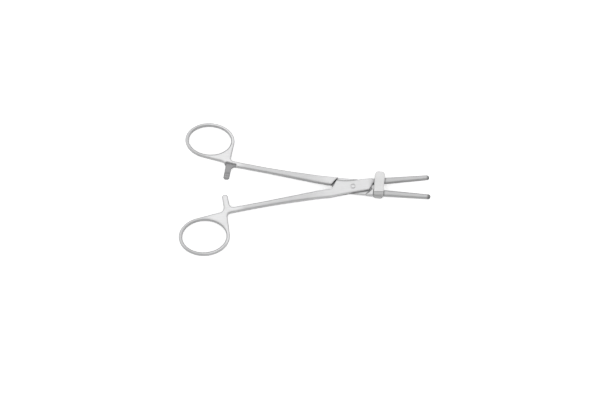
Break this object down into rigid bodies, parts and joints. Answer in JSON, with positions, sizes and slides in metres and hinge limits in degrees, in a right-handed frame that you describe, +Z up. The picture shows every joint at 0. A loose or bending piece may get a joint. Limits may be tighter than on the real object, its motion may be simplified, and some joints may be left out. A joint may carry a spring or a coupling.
{
  "type": "tubing clamp",
  "caption": "Ring-handled tubing clamp with a box lock, a ratchet, plain rounded jaws and a strap guard that bridges the jaws to keep a soft tube between them.",
  "frame": {"origin": "on the pivot pin's axis, at the underside of the box lock, on which the clamp lies", "axes": "+X from the pin towards the jaw tips, along the line midway between the open jaws; +Y across the clamp towards the ring of the tongue half; +Z up, along the pin"},
  "size_m": [0.1583, 0.085, 0.0058],
  "materials": {
    "satin_steel": "satin",
    "guard_steel": "matte satin"
  },
  "bodies": {
    "box_arm": {"box_half": "satin_steel", "pivot_pin": "satin_steel"},
    "tongue_arm": {"tongue_half": "satin_steel", "tubing_guard": "guard_steel"}
  },
  "joints": [
    {"name": "box_lock_hinge", "type": "hinge", "parent": "box_arm", "child": "tongue_arm", "pos_m": [0, 0, 0.0029], "axis": [0, 0, 1], "range_deg": [-18, 11]}
  ]
}
